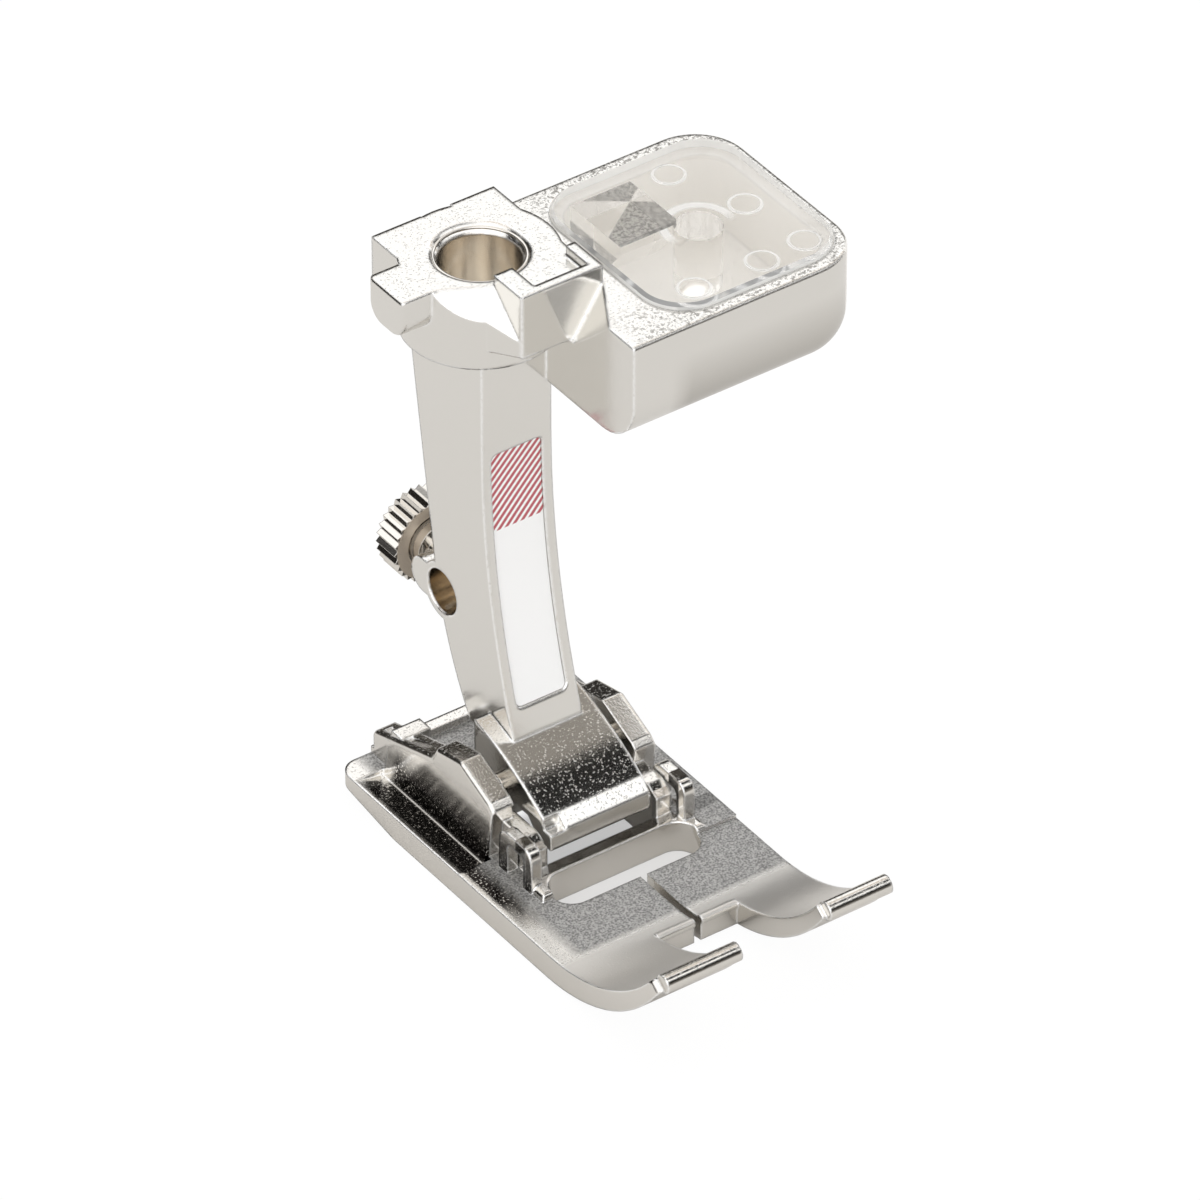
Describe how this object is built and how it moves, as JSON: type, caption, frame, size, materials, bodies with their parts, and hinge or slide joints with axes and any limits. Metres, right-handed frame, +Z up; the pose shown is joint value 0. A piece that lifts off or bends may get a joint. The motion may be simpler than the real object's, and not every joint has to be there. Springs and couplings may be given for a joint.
{
  "type": "sewing machine presser foot",
  "caption": "Metal sewing machine presser foot: hinged sole with needle slot and split upturned toes, curved shank with clamp screw, socket head and a side housing with a clear lens.",
  "frame": {"origin": "where the presser bar's axis meets the plane of the sole's underside", "axes": "+Z up along the presser bar, toes towards -Y, lens housing at +X"},
  "size_m": [0.0281, 0.038, 0.0399],
  "materials": {
    "plated_sole": "satin nickel plating, blasted top",
    "pin_steel": "ground steel",
    "plated_shank": "satin nickel plating",
    "clear_acrylic": "clear moulded acrylic",
    "label_film": "printed film, red stripes on white",
    "spring_wire": "spring steel wire",
    "plated_screw": "knurled, nickel plated"
  },
  "bodies": {
    "sole": {"sole": "plated_sole", "hinge_pin": "pin_steel"},
    "shank": {"shank": "plated_shank", "sensor_lens": "clear_acrylic", "label": "label_film", "hinge_spring": "spring_wire"},
    "clamp_screw": {"clamp_screw": "plated_screw"}
  },
  "joints": [
    {"name": "sole_hinge", "type": "hinge", "parent": "sole", "child": "shank", "pos_m": [0, -0.0066, 0.0044], "axis": [1, 0, 0], "range_deg": [-10, 10], "stiffness_Nm_per_rad": 0.08, "springref_deg": 0.46},
    {"name": "screw_turn", "type": "hinge", "parent": "shank", "child": "clamp_screw", "pos_m": [0, 0.00515, 0.0143], "axis": [0, 1, 0], "continuous": true}
  ]
}
